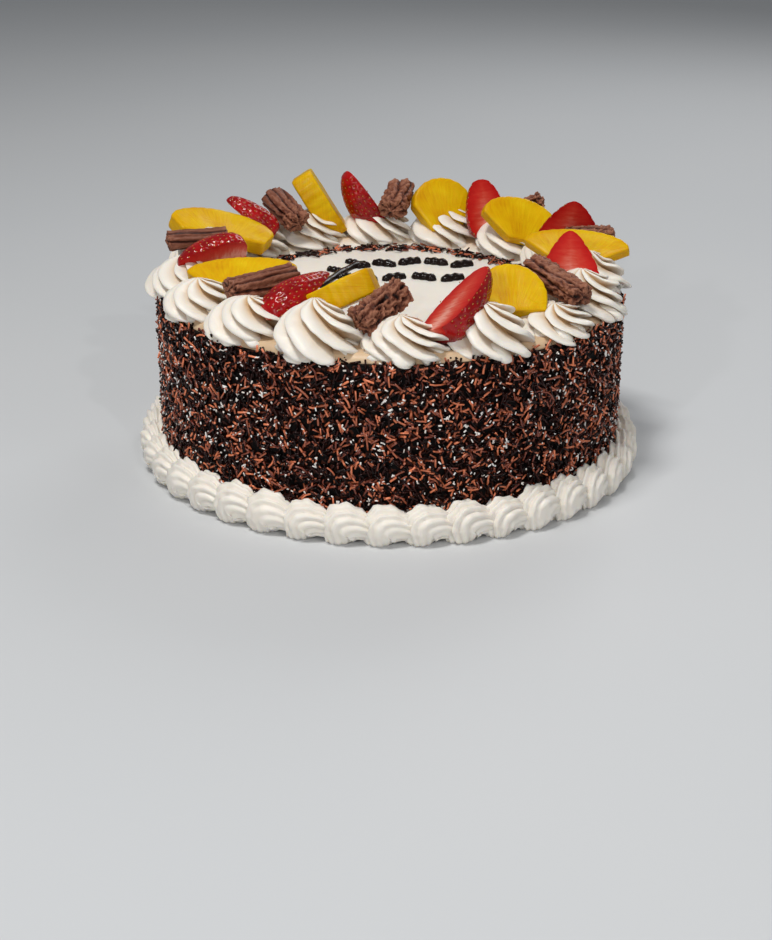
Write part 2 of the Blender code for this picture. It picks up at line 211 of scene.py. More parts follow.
# %% A material that nodes are added to
class Finish:
    """One material: a Principled shader, and the nodes that feed it."""

    def __init__(self, name, **same_all_over):
        self.material = bpy.data.materials.new(name)
        self.material.use_nodes = True
        self.tree = self.material.node_tree
        self.shader = self.tree.nodes["Principled BSDF"]
        for socket, value in same_all_over.items():
            self.set(socket.replace("_", " "), value)

    def feed(self, socket, value):
        if isinstance(value, Wire):
            self.tree.links.new(value.socket, socket)
        elif isinstance(value, tuple) and socket.type == "RGBA":
            socket.default_value = (*value, 1)
        else:
            socket.default_value = value

    def set(self, socket, value):
        """Sets or links one socket of the shader."""
        self.feed(self.shader.inputs[socket], value)
        return self

    def node(self, kind, settings=None, inputs=None, output=0):
        """Adds a node: its settings, a ramp's stops among them, come before its sockets."""
        made = self.tree.nodes.new(kind)
        for key, value in (settings or {}).items():
            if key == "stops":
                ramp = made.color_ramp
                while len(ramp.elements) < len(value):
                    ramp.elements.new(0.5)
                for stop, (place, colour) in zip(ramp.elements, value):
                    stop.position = place
                    stop.color = (*colour, 1)
            else:
                setattr(made, key, value)
        for key, value in (inputs or {}).items():
            self.feed(made.inputs[key], value)
        return Wire(self, made.outputs[output])

    def maths(self, operation, one, other):
        return self.node("ShaderNodeMath", {"operation": operation}, {0: one, 1: other})

    def mix(self, share, one, other):
        """A colour from one to the other as the share grows."""
        sockets = {"Factor": share, 6: one, 7: other}
        return self.node("ShaderNodeMix", {"data_type": "RGBA"}, sockets, 2)

    def ramp(self, share, *stops):
        """A colour that runs through the stops, each a place and a colour, as the share grows."""
        return self.node("ShaderNodeValToRGB", {"stops": stops}, {"Fac": share})

    def place(self):
        """The point in the piece's own frame, in metres."""
        return self.node("ShaderNodeTexCoord", output="Object")

    def stretched(self, *scales):
        """The same point with each of its three numbers scaled, for noise drawn out one way."""
        return self.node("ShaderNodeVectorMath", {"operation": "MULTIPLY"}, {0: self.place(), 1: scales})

    def noise(self, scale, detail=2.0, vector=None, roughness=0.5):
        inputs = {"Vector": vector or self.place(), "Scale": scale, "Detail": detail, "Roughness": roughness}
        return self.node("ShaderNodeTexNoise", None, inputs)

    def mask(self, name):
        """A number that the mesh carries on its points."""
        return self.node("ShaderNodeAttribute", {"attribute_name": name}, output="Fac")

    def bump(self, height, strength, distance):
        inputs = {"Height": height, "Strength": strength, "Distance": distance}
        return self.set("Normal", self.node("ShaderNodeBump", None, inputs))


print("shader helpers ready")

# %% [markdown]
# ## Helpers for meshes
#
# Nearly every piece here is a tube: rows of points, one after the other, with a last point that
# closes each end. Swirls, shells, berries and sprinkles differ only in how the rows are worked
# out, so one helper makes the triangles for all of them. Numbers that a material needs, such as
# how close a point is to the crest of a ridge, are stored on the points as named masks.

# %% Meshes from arrays
def tube_triangles(rows, count):
    """Triangles of a closed tube. Its points are the rows in order, then its two end points."""
    here = np.arange(rows * count).reshape(rows, count)
    beside = np.roll(here, -1, axis=1)
    first = np.stack([here[:-1], beside[:-1], here[1:]], -1).reshape(-1, 3)
    second = np.stack([beside[:-1], beside[1:], here[1:]], -1).reshape(-1, 3)
    start = np.full(count, rows * count)
    foot = np.stack([beside[0], here[0], start], -1)
    head = np.stack([here[-1], beside[-1], start + 1], -1)
    return np.concatenate([first, second, foot, head])


def close_tube(rows):
    """The rows as one list of points, with the middle of the first and of the last row after them."""
    flat = rows.reshape(-1, rows.shape[-1])
    return np.concatenate([flat, rows[:1].mean(1), rows[-1:].mean(1)])


def join_tubes(tubes):
    """Points and triangles of many closed tubes as one mesh, each tube given by its rows."""
    points, triangles, total = [], [], 0
    for rows in tubes:
        triangles.append(tube_triangles(*rows.shape[:2]) + total)
        points.append(close_tube(rows))
        total += len(points[-1])
    return np.concatenate(points), np.concatenate(triangles)


def add_piece(name, points, triangles, finishes, replaced=(), masks=None, sharp=None, place=None):
    """Makes an object of triangles that rides on the cake and stands for the named solids."""
    data = bpy.data.meshes.new(name)
    data.vertices.add(len(points))
    data.vertices.foreach_set("co", np.asarray(points, np.float32).ravel())
    data.loops.add(triangles.size)
    data.loops.foreach_set("vertex_index", np.asarray(triangles, np.int32).ravel())
    data.polygons.add(len(triangles))
    data.polygons.foreach_set("loop_start", np.arange(0, triangles.size, 3, dtype=np.int32))
    data.update(calc_edges=True)
    data.validate()
    data.shade_smooth()
    if sharp:
        data.set_sharp_from_angle(angle=radians(sharp))
    for label, values in (masks or {}).items():
        layer = data.attributes.new(label, "FLOAT", "POINT")
        layer.data.foreach_set("value", np.asarray(values, np.float32).ravel())
    for finish in finishes:
        data.materials.append(finish.material)
    made = bpy.data.objects.new(name, data)
    if place is not None:
        made.matrix_world = place
    bpy.context.scene.collection.objects.link(made)
    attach(made, BODY)
    if replaced:
        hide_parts(*replaced)
    return made


def curve_through(keys, places):
    """A smooth curve through keys of (place, value), read at the given places."""
    x, y = np.array(keys, float).T
    slope = np.gradient(y, x)
    i = np.clip(np.searchsorted(x, places) - 1, 0, len(x) - 2)
    step = x[i + 1] - x[i]
    u = (places - x[i]) / step
    near = (2 * u**3 - 3 * u**2 + 1) * y[i] + (u**3 - 2 * u**2 + u) * step * slope[i]
    return near + (3 * u**2 - 2 * u**3) * y[i + 1] + (u**3 - u**2) * step * slope[i + 1]


def ripple(points, size):
    """Smooth random values between -1 and 1, one for each point, whose bumps are of that size."""
    return np.array([noise.noise(Vector(point) / size) for point in points])


# Smooth random vectors are the same on each run only when the noise has a seed
noise.seed_set(11)


def stir(points, size):
    """Smooth random vectors, one for each point."""
    return np.array([noise.noise_vector(Vector(point) / size) for point in points])


def polar(azimuth, radius, height):
    """A point by its azimuth in degrees from the front, its radius and its height, in mm."""
    angle = radians(azimuth)
    return Vector((radius * sin(angle), -radius * cos(angle), height)) * MM


print("a tube of 3 rows of 5 has", len(tube_triangles(3, 5)), "triangles")

# %% [markdown]
# ## Whipped cream
#
# Whipped cream is nearly white, a little warm, and light passes some way into it. The shader lets
# light in below the surface, and the mask "crest" that each piped piece carries paints its grooves
# a darker tan than its edges: painted shade, standing in for the shadow deep in the grooves.

# %% Cream
CREAM_CREST = (0.89, 0.84, 0.76)
# Painted shade: the darker tan that the grooves of piped cream are given
CREAM_GROOVE_SHADE = (0.61, 0.38, 0.17)
CREAM_SCATTER = 1.5 * MM

cream = Finish("cream", Roughness=0.42, Subsurface_Weight=0.2, Subsurface_Scale=CREAM_SCATTER,
               Specular_IOR_Level=0.35)
cream.shader.inputs["Subsurface Radius"].default_value = (1.0, 0.72, 0.4)
# The crest mask paints shade: grooves take the darker tan, the edges of blades and ridges the pale cream
cream.set("Base Color", cream.mix(cream.mask("crest").between(-0.1, 1.0), CREAM_GROOVE_SHADE, CREAM_CREST))
cream.bump(cream.noise(900, 4) * 0.6 + cream.noise(260, 2) * 0.4, 0.18, 0.5 * MM)
print("cream nodes:", len(cream.tree.nodes))

# %% [markdown]
# ## The swirls on the rim
#
# Each swirl comes out of a large star nozzle that is turned and lifted off in one go. The nozzle's
# teeth leave thick blades that wind up the swirl to a peak, each a flat edge between two hollow
# flanks. A swirl is modelled as rows of a star, smaller and more turned with each row. The star's
# blades lean over, as soft cream does, and the grooves between them are deepest at the foot, where
# the blades end as separate tongues. Low lobes under each swirl are left from its first turn.

# %% Swirl sizes
TOP_HEIGHT = 89.5
SWIRLS = 16
SWIRL_FIRST = 4.0
SWIRL_RING = 106.5
SWIRL_RADIUS = 22.4
SWIRL_BLADES = 8
SWIRL_TWIST = radians(-132)
SWIRL_HEIGHTS = [20, 24, 15, 22, 21, 23, 20, 23, 20, 20, 22, 24, 20, 20, 22, 25]
SWIRL_OUTLINE = [(0.0, 0.84), (0.08, 0.97), (0.2, 1.02), (0.38, 0.99), (0.56, 0.88), (0.7, 0.72),
                 (0.83, 0.51), (0.93, 0.30), (1.0, 0.10)]
TWIST_POWER = 1.12
TWIST_SPREAD = (0.85, 1.15)
PEAK_DRIFT = 3
SWIRL_ROWS = 48
SWIRL_SAG = ((1.6, 15.0), (0.4, 5.0), (0.12, 1.8))
FOOT_HEIGHT = 8.0
FOOT_SUNK = 0.8
FOOT_RADIUS = SWIRL_RADIUS * 0.93
FOOT_TWIST = radians(-22)
FOOT_OUTLINE = [(0.0, 0.84), (0.3, 1.0), (0.7, 0.93), (1.0, 0.7)]
FOOT_ROWS = 6
FOOT_SAG = ((1.0, 12.0), (0.3, 4.0))
BLADE_POINTS = 15
BLADE_DEPTH = 0.50
BLADE_SIZES = (0.72, 1.16)
BLADE_SHIFT = 0.16
BLADE_WAVE = 0.05
NOTCH_DEPTH = 0.16
BLADE_LEAN = 0.30
BLADE_FLAT = 0.30
BLADE_DIP = 0.05
BLADE_HOLLOW = 1.35
RIM_RADIUS = 121.0
DROOP = 0.2


def swirl_azimuth(index):
    return SWIRL_FIRST + 360 / SWIRLS * index


def blade_profile(across):
    """Height of a blade across its width, from 0 to 1: a flat edge between two hollow flanks."""
    away = np.abs(2 * across - 1)
    flank = np.clip((1 - away) / (1 - BLADE_FLAT), 0, 1)
    return flank**BLADE_HOLLOW - BLADE_DIP * (away / BLADE_FLAT) ** 2 * (away < BLADE_FLAT)


def piped_star(rng, azimuth, outline, rows, radius, base, height, twist, shift):
    """Rows of points of a twisted star in mm, and how close each is to the crest of its blade."""
    start = rng.uniform(0, 2 * pi)
    blade_size = np.array([rng.uniform(*BLADE_SIZES) for _ in range(SWIRL_BLADES)])
    blade_turn = np.array([rng.uniform(-BLADE_SHIFT, BLADE_SHIFT) for _ in range(SWIRL_BLADES)])
    level = np.linspace(0, 1, rows)[:, None]
    turn = np.arange(SWIRL_BLADES * BLADE_POINTS) / BLADE_POINTS
    blade = turn.astype(int)
    crest = blade_profile(turn - blade)
    theta = start + 2 * pi / SWIRL_BLADES * (turn + (blade_turn[blade] - BLADE_LEAN) * crest)
    theta = theta + twist * level**TWIST_POWER
    wave = 1 + BLADE_WAVE * np.sin(9 * level + start + blade)
    cut = (BLADE_DEPTH + NOTCH_DEPTH * (1 - level) ** 3) * (1 - crest * blade_size[blade] * wave)
    reach = radius * curve_through(outline, level) * (1 - cut)
    centre = np.array(polar(azimuth, SWIRL_RING, 0)) / MM
    x = centre[0] + shift[0] * level**2 + reach * np.cos(theta)
    y = centre[1] + shift[1] * level**2 + reach * np.sin(theta)
    z = base + height * level + 0 * theta
    over = np.clip(np.hypot(x, y) - RIM_RADIUS, 0, None)
    z = z - DROOP * over * (1 - level)
    return np.stack([x, y, z], -1), np.broadcast_to(crest, theta.shape)


def swirl_rows(index):
    """One swirl, from its foot to its pulled peak."""
    rng = random.Random(200 + index)
    shift = rng.uniform(-PEAK_DRIFT, PEAK_DRIFT), rng.uniform(-PEAK_DRIFT, PEAK_DRIFT)
    twist = SWIRL_TWIST * rng.uniform(*TWIST_SPREAD)
    return piped_star(rng, swirl_azimuth(index), SWIRL_OUTLINE, SWIRL_ROWS, SWIRL_RADIUS, TOP_HEIGHT,
                      SWIRL_HEIGHTS[index], twist, shift)


def soften(points, waves):
    """Moves points by smooth waves, each an amount and a size in mm, as soft cream sags."""
    for amount, size in waves:
        points = points + amount * stir(points, size)
    return points


# %% Swirls
def drop_scraps(data):
    """Keeps only the largest body of a mesh."""
    parent = list(range(len(data.vertices)))

    def root(i):
        while parent[i] != i:
            parent[i] = parent[parent[i]]
            i = parent[i]
        return i

    for edge in data.edges:
        parent[root(edge.vertices[0])] = root(edge.vertices[1])
    owner = [root(i) for i in range(len(parent))]
    largest = max(set(owner), key=owner.count)
    if len(set(owner)) > 1:
        mesh = bmesh.new()
        mesh.from_mesh(data)
        mesh.verts.ensure_lookup_table()
        scraps = [mesh.verts[i] for i, one in enumerate(owner) if one != largest]
        bmesh.ops.delete(mesh, geom=scraps, context="VERTS")
        mesh.to_mesh(data)
        mesh.free()


def press_toppings(piece, name):
    """Cuts the seats of the toppings that lie in this swirl."""
    low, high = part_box(name)
    for node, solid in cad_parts.items():
        if not node.startswith(("strawberry", "choc_bar", "pineapple")):
            continue
        other_low, other_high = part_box(node)
        if any(low[k] > other_high[k] or other_low[k] > high[k] for k in range(3)):
            continue
        cut = piece.modifiers.new(node, "BOOLEAN")
        cut.operation = "DIFFERENCE"
        cut.object = solid
        cut.solver = "MANIFOLD"
    graph = bpy.context.evaluated_depsgraph_get()
    cut_mesh = bpy.data.meshes.new_from_object(piece.evaluated_get(graph))
    piece.modifiers.clear()
    piece.data = cut_mesh
    drop_scraps(cut_mesh)


def make_swirl(index):
    name = f"swirl_{index + 1:02d}"
    rows, crest = swirl_rows(index)
    points, triangles = join_tubes([rows])
    points = soften(points, SWIRL_SAG)
    masks = {"crest": np.append(crest.ravel(), [0.5, 0.8])}
    piece = add_piece("cream_" + name, points * MM, triangles, [cream], [name], masks)
    press_toppings(piece, name)
    return piece


swirls = [make_swirl(index) for index in range(SWIRLS)]
print("swirl triangles:", sum(len(swirl.data.polygons) for swirl in swirls))


# %% Feet of the swirls
def make_feet():
    """The low lobes that the nozzle leaves under each swirl as it starts, all as one piece."""
    tubes, crests = [], []
    for index in range(SWIRLS):
        rng = random.Random(260 + index)
        rows, crest = piped_star(rng, swirl_azimuth(index), FOOT_OUTLINE, FOOT_ROWS, FOOT_RADIUS,
                                 TOP_HEIGHT - FOOT_SUNK, FOOT_HEIGHT, FOOT_TWIST, (0, 0))
        tubes.append(rows)
        crests.append(np.append(crest.ravel(), [0.3, 0.3]))
    points, triangles = join_tubes(tubes)
    points = soften(points, FOOT_SAG)
    masks = {"crest": np.concatenate(crests)}
    return add_piece("cream_feet", points * MM, triangles, [cream], [], masks)


feet = make_feet()
print("feet triangles:", len(feet.data.polygons))

# %% [markdown]
# ## The shell border
#
# For a shell the nozzle starts on the board, lets a bulb of cream swell up, then pulls away to the
# right and down. The next shell's bulb covers that tail. So a shell is swept: a star is carried
# up from the board and bent over to the right, first growing and then shrinking. Its ridges rise
# from the board in arcs and run out under the next shell, and its crown, where the cream tears
# as the nozzle pulls away, is cut into sharp teeth.

# %% Shell sizes
SHELLS = 40
SHELL_FIRST = 2.5
SHELL_RING = 127.4
SHELL_RIDGES = 12
SHELL_ROWS = 26
RIDGE_POINTS = 5
SHELL_RIDGE_DEPTH = 0.17
SHELL_OUT = 0.86
CROWN_DEPTH = 0.20
CROWN_TEETH = 6
TOOTH_DEPTH = 0.15
TOOTH_SLANT = 0.35
CREST_ROUND = 0.6
SHELL_SIZES = (0.93, 1.05)
SHELL_TURNS = (45, 65)
SHELL_SAG = ((0.5, 9.0), (0.2, 2.5))
# Least value of the crest mask on the shells, so their painted groove shade stays faint
BORDER_PALE = 0.8
BORDER_MARGIN = 0.4
# Path of the nozzle along the border, in mm: share of the way, distance to the right, height
SHELL_PATH_ACROSS = [(0.0, -1.5), (0.25, -1.0), (0.5, 2.0), (0.75, 9.0), (1.0, 17.0)]
SHELL_PATH_UP = [(0.0, 0.0), (0.25, 6.4), (0.5, 10.8), (0.75, 10.0), (1.0, 5.2)]
SHELL_SWELL = [(0.0, 7.4), (0.15, 9.9), (0.35, 11.7), (0.55, 11.3), (0.75, 8.9), (1.0, 4.8)]
SHELL_LEAN = [(0.0, 0.0), (0.25, 14.0), (0.5, 62.0), (0.75, 98.0), (1.0, 118.0)]


def shell_rows(index):
    """Rows of points of one shell in mm, and how close each is to the crest of its ridge."""
    rng = random.Random(100 + index)
    size = rng.uniform(*SHELL_SIZES)
    share = np.linspace(0, 1, SHELL_ROWS)[:, None]
    turn = np.arange(SHELL_RIDGES * RIDGE_POINTS) / RIDGE_POINTS + rng.uniform(0, 1)
    phi = 2 * pi * turn / SHELL_RIDGES + radians(rng.uniform(*SHELL_TURNS)) * share
    crown = np.clip(np.sin(phi), 0, 1)
    tooth = 1 - np.abs(2 * (turn % 1) - 1)
    crest = np.sin(pi * (turn % 1)) ** CREST_ROUND * (1 - crown) + tooth * crown
    depth = SHELL_RIDGE_DEPTH + CROWN_DEPTH * crown
    notch = np.abs(2 * ((share * CROWN_TEETH + rng.uniform(0, 1) + TOOTH_SLANT * phi) % 1) - 1)
    swell = size * curve_through(SHELL_SWELL, share) * (1 - depth * (1 - crest))
    swell = swell * (1 - TOOTH_DEPTH * crown * notch)
    lean = np.radians(curve_through(SHELL_LEAN, share))
    out = SHELL_OUT * swell * np.cos(phi)
    back = swell * np.sin(phi)
    across = curve_through(SHELL_PATH_ACROSS, share) - back * np.cos(lean)
    height = curve_through(SHELL_PATH_UP, share) * size + back * np.sin(lean)
    azimuth = np.radians(SHELL_FIRST + 360 / SHELLS * (index + 0.55)) + across / SHELL_RING
    radius = SHELL_RING + out
    z = np.clip(height, 0.05, None)
    return np.stack([radius * np.sin(azimuth), -radius * np.cos(azimuth), z], -1), crest


# %% Border
def make_border():
    """All the shells as one piece, a tube for each, drawn in where they pass the solid's reach."""
    tubes, crests = [], []
    for index in range(SHELLS):
        rows, crest = shell_rows(index)
        tubes.append(rows)
        crests.append(np.append(crest.ravel(), [0.5, 0.5]))
    points, triangles = join_tubes(tubes)
    sag = sum(amount * stir(points, size) for amount, size in SHELL_SAG)
    points = points + sag * (points[:, 2:] > 0.5)
    reach = np.hypot(points[:, 0], points[:, 1])
    limit = border_high.x / MM - BORDER_MARGIN
    points[:, :2] *= np.minimum(1, limit / reach)[:, None]
    # The crest mask paints shade in the shells' grooves, lifted so that it is faint
    crest = BORDER_PALE + (1 - BORDER_PALE) * np.concatenate(crests)
    masks = {"crest": crest}
    return add_piece("cream_border", points * MM, triangles, [cream], ["base_border"], masks)


border = make_border()
print("border triangles:", len(border.data.polygons))

# %% [markdown]
# ## The body and its top
#
# Under the sprinkles the wall is only glimpsed, in the shade between them, so it is a plain
# near-black tube: painted shadow. The top is a disc of smoothed cream with the faint rings and
# waves that a palette knife leaves, made as a dense disc whose points are moved by noise. A low
# bank of cream under the swirls closes the gaps between; its crest mask paints it darker tan
# towards the rim, as painted shade.

# %% Wall and top
WALL_STEPS = 180
WALL_ROWS = 12
WALL_BARE = 122.4
WALL_SHARP = 40
EDGE_SOFT = 2.5
TOP_RINGS = 40
TOP_RADIUS = 120.0
TOP_THICK = 0.5
BANK_INNER = 90
BANK_WIDTH = 8
BANK_RISE = 3.2
TOP_WAVES = ((0.28, 16.0), (0.08, 4.0))
# Painted shade on the bank: from this radius the top's crest mask falls over this width, so the cream turns
# darker tan under the swirls
RIM_SHADE_FROM, RIM_SHADE_WIDTH = 86, 14

# Painted shadow: the wall is near-black so that the gaps between the sprinkles look as dark as their shade
wall_shadow_finish = Finish("painted_shadow_under_sprinkles", Roughness=0.5, Specular_IOR_Level=0.1)
wall_lumps = wall_shadow_finish.noise(420, 3)
wall_shadow_finish.set("Base Color", wall_shadow_finish.mix(wall_lumps.between(0.55, 0.66), (0.002, 0.001, 0.001),
                                              (0.07, 0.018, 0.009)))
wall_shadow_finish.bump(wall_lumps, 1.0, 1.4 * MM)


def make_wall():
    """The bare wall from the floor to its rounded rim."""
    angle = np.arange(WALL_STEPS) * 2 * pi / WALL_STEPS
    heights = np.linspace(0, TOP_HEIGHT - EDGE_SOFT, WALL_ROWS)
    radii = np.full(WALL_ROWS, WALL_BARE)
    heights = np.append(heights, [TOP_HEIGHT - 0.7, TOP_HEIGHT - 0.2])
    radii = np.append(radii, [WALL_BARE - 0.8, WALL_BARE - EDGE_SOFT])
    rows = np.stack([radii[:, None] * np.cos(angle), radii[:, None] * np.sin(angle),
                     heights[:, None] + 0 * angle], -1)
    points, triangles = join_tubes([rows])
    return add_piece("wall", points * MM, triangles, [wall_shadow_finish], ["cake"], sharp=WALL_SHARP)


def make_top():
    """A thin disc of cream, raised to a low bank where the swirls stand."""
    angle = np.arange(WALL_STEPS) * 2 * pi / WALL_STEPS
    radii = np.linspace(TOP_RADIUS, 1.0, TOP_RINGS)[:, None]
    bank = np.clip((radii - BANK_INNER) / BANK_WIDTH, 0, 1)
    edge = np.clip((TOP_RADIUS - radii) / 3, 0, 1) ** 0.5
    rise = TOP_THICK + BANK_RISE * bank**2 * (3 - 2 * bank) * edge
    top = np.stack([radii * np.cos(angle), radii * np.sin(angle), TOP_HEIGHT + rise + 0 * angle], -1)
    foot = top[:1].copy()
    foot[..., 2] = TOP_HEIGHT - 1
    points, triangles = join_tubes([np.concatenate([foot, top])])
    (broad, broad_size), (fine, fine_size) = TOP_WAVES
    slow = broad * ripple(points * np.array([1, 1, 0]), broad_size)
    points[:, 2] += slow + fine * ripple(points, fine_size)
    # Painted shade: the crest mask falls towards the rim, so the bank under the swirls is tinted darker tan
    crest = np.clip(1.15 - (np.hypot(points[:, 0], points[:, 1]) - RIM_SHADE_FROM) / RIM_SHADE_WIDTH, 0.25, 1)
    return add_piece("cream_top", points * MM, triangles, [cream], [], {"crest": crest})


wall = make_wall()
top = make_top()
print("wall and top triangles:", len(wall.data.polygons), len(top.data.polygons))

# %% [markdown]
# ## The sprinkles
#
# Sprinkles are short rods of chocolate, about five millimetres long and one across, some of them
# slightly bent. They are made at true size as arrays: one rod's points, repeated for each place
# and turned by three directions. That keeps thousands of rods in one mesh, which is quick to make.

# %% Rods
ROD_SIDES = 5
ROD_TIP = 0.35
STRAIGHT = (-0.5, 0.5)
BENT = (-0.5, -0.17, 0.17, 0.5)
UPRIGHT = np.array([0, 0, 1.0])


def rods(centres, along, up, lengths, thick, bends, stations):
    """Points and triangles of many rods, each with its own length, thickness and bend."""
    side = np.cross(up, along)
    turn = np.arange(ROD_SIDES) * 2 * pi / ROD_SIDES
    rows = []
    for end in stations:
        middle = centres + along * (end * lengths)[:, None] + side * (bends * (0.25 - end**2) * 4)[:, None]
        ring = side[:, None] * np.cos(turn)[:, None] + up[:, None] * np.sin(turn)[:, None]
        rows.append(middle[:, None] + ring * thick[:, None, None])
    rows = np.stack(rows, 1)
    tips = []
    for row, way in ((0, -1), (-1, 1)):
        tip = along[:, None] * (way * ROD_TIP * thick)[:, None, None]
        tips.append(rows[:, row].mean(1, keepdims=True) + tip)
    count = len(centres)
    points = np.concatenate([rows.reshape(count, -1, 3), *tips], 1)
    one = tube_triangles(len(stations), ROD_SIDES)
    triangles = (one[None] + (np.arange(count) * points.shape[1])[:, None, None]).reshape(-1, 3)
    return points.reshape(-1, 3), triangles, points.shape[1]


def unit(vectors):
    return vectors / np.linalg.norm(vectors, axis=-1, keepdims=True)


# %% Where the sprinkles lie
WALL_LOW, WALL_HIGH = 12.0, 92.0
WALL_LIFT = (-0.5, 1.3)
WALL_LEAN = 0.32
RIM_PULL = 1.7
PROUD = 0.6
RING_INNER, RING_MIDDLE, RING_OUTER = 75.0, 82.5, 90.0
RING_SPREAD = 2.8
CLUSTER = 4
CLUSTER_SPREAD = 0.75


def wall_places(rng, count):
    """Places on the wall: a point, the way out, and a random way along the surface."""
    angle = rng.uniform(0, 2 * pi, count)
    height = rng.uniform(WALL_LOW, WALL_HIGH, count)
    lift = rng.uniform(*WALL_LIFT, count)
    out = np.stack([np.cos(angle), np.sin(angle), 0 * angle], -1)
    across = np.stack([-np.sin(angle), np.cos(angle), 0 * angle], -1)
    lean = rng.uniform(0, pi, count)
    along = across * np.cos(lean)[:, None] + UPRIGHT * np.sin(lean)[:, None]
    along = unit(along + out * rng.normal(0, WALL_LEAN, count)[:, None])
    radius = WALL_BARE + 0.7 + lift
    over = np.clip(height - (TOP_HEIGHT - 0.6), 0, None)
    height = np.minimum(height, TOP_HEIGHT + 0.3)
    centre = out * (radius - over * RIM_PULL)[:, None] + UPRIGHT * height[:, None]
    return centre, along, unit(out + 0 * along)


def proud_places(rng, count):
    """Places on the wall that stand out past the others."""
    centre, along, up = wall_places(rng, count)
    return centre + PROUD * up, along, up


def cluster_places(rng, count):
    """Places on the wall in tight groups, where small bits stick together."""
    centre, along, up = proud_places(rng, ceil(count / CLUSTER))
    centre, along, up = (np.repeat(part, CLUSTER, 0)[:count] for part in (centre, along, up))
    centre = centre + rng.normal(0, CLUSTER_SPREAD, centre.shape) * (1 - np.abs(up))
    return centre, unit(along + np.cross(up, along) * rng.normal(0, 1.5, (count, 1))), up


def ring_places(rng, count):
    """Places in the ring of sprinkles on the top, densest in its middle."""
    angle = rng.uniform(0, 2 * pi, count)
    radius = np.clip(rng.normal(RING_MIDDLE, RING_SPREAD, count), RING_INNER, RING_OUTER)
    lean = rng.uniform(0, 2 * pi, count)
    flat = np.stack([np.cos(lean), np.sin(lean), rng.normal(0, 0.16, count)], -1)
    height = TOP_HEIGHT + 0.9 + rng.uniform(0, 1.3, count)
    centre = np.stack([radius * np.cos(angle), radius * np.sin(angle), height], -1)
    return centre, unit(flat), np.broadcast_to(UPRIGHT, centre.shape)


# %% Sprinkle finishes
dark = Finish("dark_sprinkles", Roughness=0.2, Specular_IOR_Level=0.2)
dark.set("Base Color", dark.mix(dark.mask("shade"), (0.002, 0.001, 0.001), (0.030, 0.006, 0.004)))
milk = Finish("milk_sprinkles", Roughness=0.24, Specular_IOR_Level=0.7)
milk.set("Base Color", milk.mix(milk.mask("shade") ** 1.5, (0.15, 0.022, 0.009), (0.93, 0.26, 0.11)))
# White bits: the clusters and some rods are real white sprinkles and crumbs; the many tiny proud bits are
# painted glints, white specks that stand in for highlights on the dark rods
white = Finish("white_sprinkles_and_glints", Roughness=0.25)
white.set("Base Color", white.mix(white.mask("shade"), (0.86, 0.78, 0.70), (0.98, 0.97, 0.95)))


# %% Scatter
def scatter(name, seed, finish, thick, batches):
    """One kind of sprinkle, over the wall and in the ring on the top, straight and bent rods alike."""
    rng = np.random.default_rng(seed)
    points, triangles, shades, total = [], [], [], 0
    for stations, lay, on_wall, on_top, shortest, longest, bend in batches:
        places = zip(lay(rng, on_wall), ring_places(rng, on_top))
        centre, along, up = (np.concatenate(pair) for pair in places)
        up = unit(up - along * (up * along).sum(1)[:, None])
        count = on_wall + on_top
        lengths = rng.uniform(shortest, longest, count)
        bends = rng.normal(0, bend, count)
        made, faces, each = rods(centre, along, up, lengths, rng.uniform(*thick, count), bends, stations)
        points.append(made)
        triangles.append(faces + total)
        total += len(made)
        shades.append(np.repeat(rng.uniform(0, 1, count), each))
    points, triangles = np.concatenate(points) * MM, np.concatenate(triangles)
    masks = {"shade": np.concatenate(shades)}
    return add_piece(name, points, triangles, [finish], [], masks)


# Batches: cross sections, how they lie, rods on the wall and on the top, then in mm the shortest, the
# longest and the bend
sprinkles = [
    scatter("dark_sprinkles", 11, dark, (0.48, 0.64), [(STRAIGHT, wall_places, 7700, 620, 3.0, 5.4, 0),
                                                       (BENT, wall_places, 650, 60, 4, 8, 0.7)]),
    scatter("milk_sprinkles", 12, milk, (0.46, 0.60), [(STRAIGHT, wall_places, 4700, 220, 2.8, 5.4, 0),
                                                       (BENT, wall_places, 900, 60, 4, 9, 0.8)]),
    # The tiny proud white bits are mostly painted glints; the clustered bits are white crumbs
    scatter("white_sprinkles_and_glints", 13, white, (0.26, 0.47), [(STRAIGHT, proud_places, 2300, 40, 0.6, 1.8, 0),
                                                         (STRAIGHT, cluster_places, 520, 0, 1.0, 2.6, 0)]),
]
print("sprinkle triangles:", [len(piece.data.polygons) for piece in sprinkles])

# %% [markdown]
# ## Laying the toppings
#
# A topping is built lying along its own X axis, from its tail to its head, with its good side up.
# A tail, a head and a roll about the line between them then lay it in the cream, which reads more
# easily than three angles. Its material works in the same frame, so fibres follow the piece.

# %% Where each topping lies
# Strawberries, stem end to tip: tail, head, roll, width as a share of length, degrees of skin, depth,
# outline, and whether the cut face is on the upper side
STRAWBERRIES = [
    ((10.5, 110, 103), (30.5, 88.5, 125), 152, 0.66, 180, 1.0, "blunt", False),
    ((70, 99, 96), (82, 94.5, 127), -172, 0.82, 180, 0.75, "pointed", False),
    ((120, 111, 97), (117, 112, 130), 150, 1.06, 180, 0.45, "pointed", True),
    ((145, 101.5, 97), (152, 109.5, 128), -178, 0.76, 180, 0.8, "blunt", False),
    ((188.5, 104, 93), (200, 101, 123.5), 12, 0.72, 160, 1.0, "blunt", True),
    ((226, 91.5, 103), (234.5, 114.5, 122), -25, 0.50, 130, 1.0, "blunt", False),
    ((269, 77, 109.5), (276, 113, 104), 50, 0.68, 180, 1.0, "blunt", False),
    ((326, 108, 101), (331, 64, 115), 15, 0.46, 120, 1.0, "pointed", False),
]
